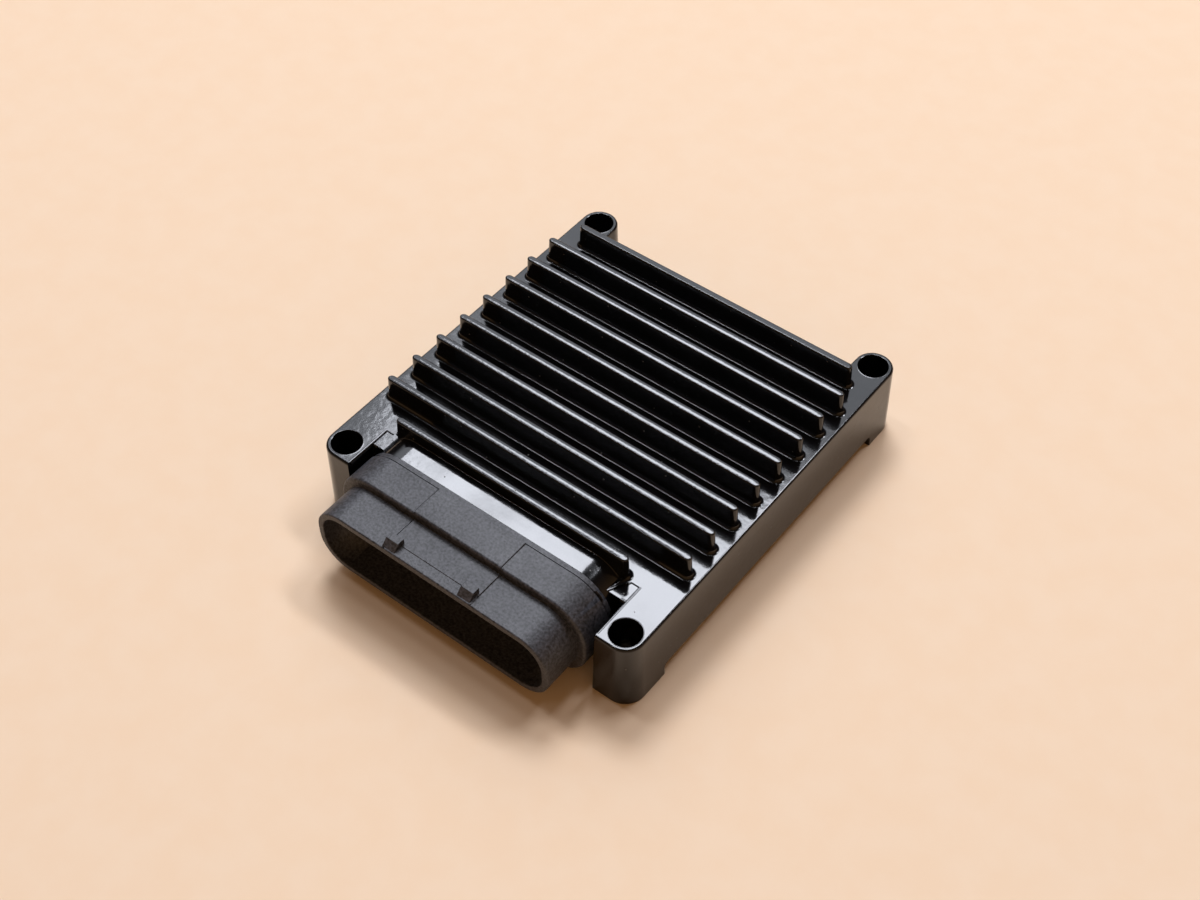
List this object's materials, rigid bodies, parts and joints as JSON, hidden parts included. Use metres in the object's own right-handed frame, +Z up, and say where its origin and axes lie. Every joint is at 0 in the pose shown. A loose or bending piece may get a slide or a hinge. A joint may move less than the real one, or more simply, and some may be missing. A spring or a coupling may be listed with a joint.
{
  "type": "engine control unit",
  "caption": "Sealed engine control unit: finned black die-cast housing with bolt ears, moulded oval connector socket with terminals, circuit board inside and a screwed base cover",
  "frame": {"origin": "Midway between the two rear bolt holes, on the mounting plane under the feet", "axes": "X runs along the fins, Y points away from the connector, Z points up out of the finned face"},
  "size_m": [0.09, 0.1136, 0.0251],
  "materials": {
    "black_paint": "gloss black paint with slight orange peel on die-cast aluminium",
    "sheet_aluminium": "plain mill finish",
    "seal_rubber": "smooth silicone rubber",
    "zinc_steel": "bright zinc plate",
    "connector_plastic": "spark-eroded matte moulding",
    "tinned_brass": "tin plate",
    "board_laminate": "green solder resist",
    "chip_plastic": "moulded epoxy",
    "bright_metal": "tinned",
    "can_aluminium": "drawn can",
    "ferrite": "ground ferrite",
    "pad_rubber": "filled silicone",
    "chip_ceramic": "fired ceramic with tinned ends"
  },
  "bodies": {
    "root": {"housing": "black_paint", "base_cover": "sheet_aluminium", "cover_gasket": "seal_rubber", "cover_screws": "zinc_steel", "connector_header": "connector_plastic", "connector_seal": "seal_rubber", "header_screws": "zinc_steel", "terminal_pins": "tinned_brass", "pin_aligner": "chip_plastic", "circuit_board": "board_laminate", "board_screws": "zinc_steel", "processor": "chip_plastic", "processor_leads": "bright_metal", "memory_chip": "chip_plastic", "bus_transceiver": "chip_plastic", "signal_conditioner": "chip_plastic", "crystal": "bright_metal", "electrolytic_capacitors": "can_aluminium", "power_inductor": "ferrite", "clamp_diode": "chip_plastic", "power_transistors": "chip_plastic", "voltage_regulator": "chip_plastic", "thermal_pad": "pad_rubber", "chip_capacitors": "chip_ceramic", "chip_resistors": "chip_ceramic"}
  },
  "joints": []
}
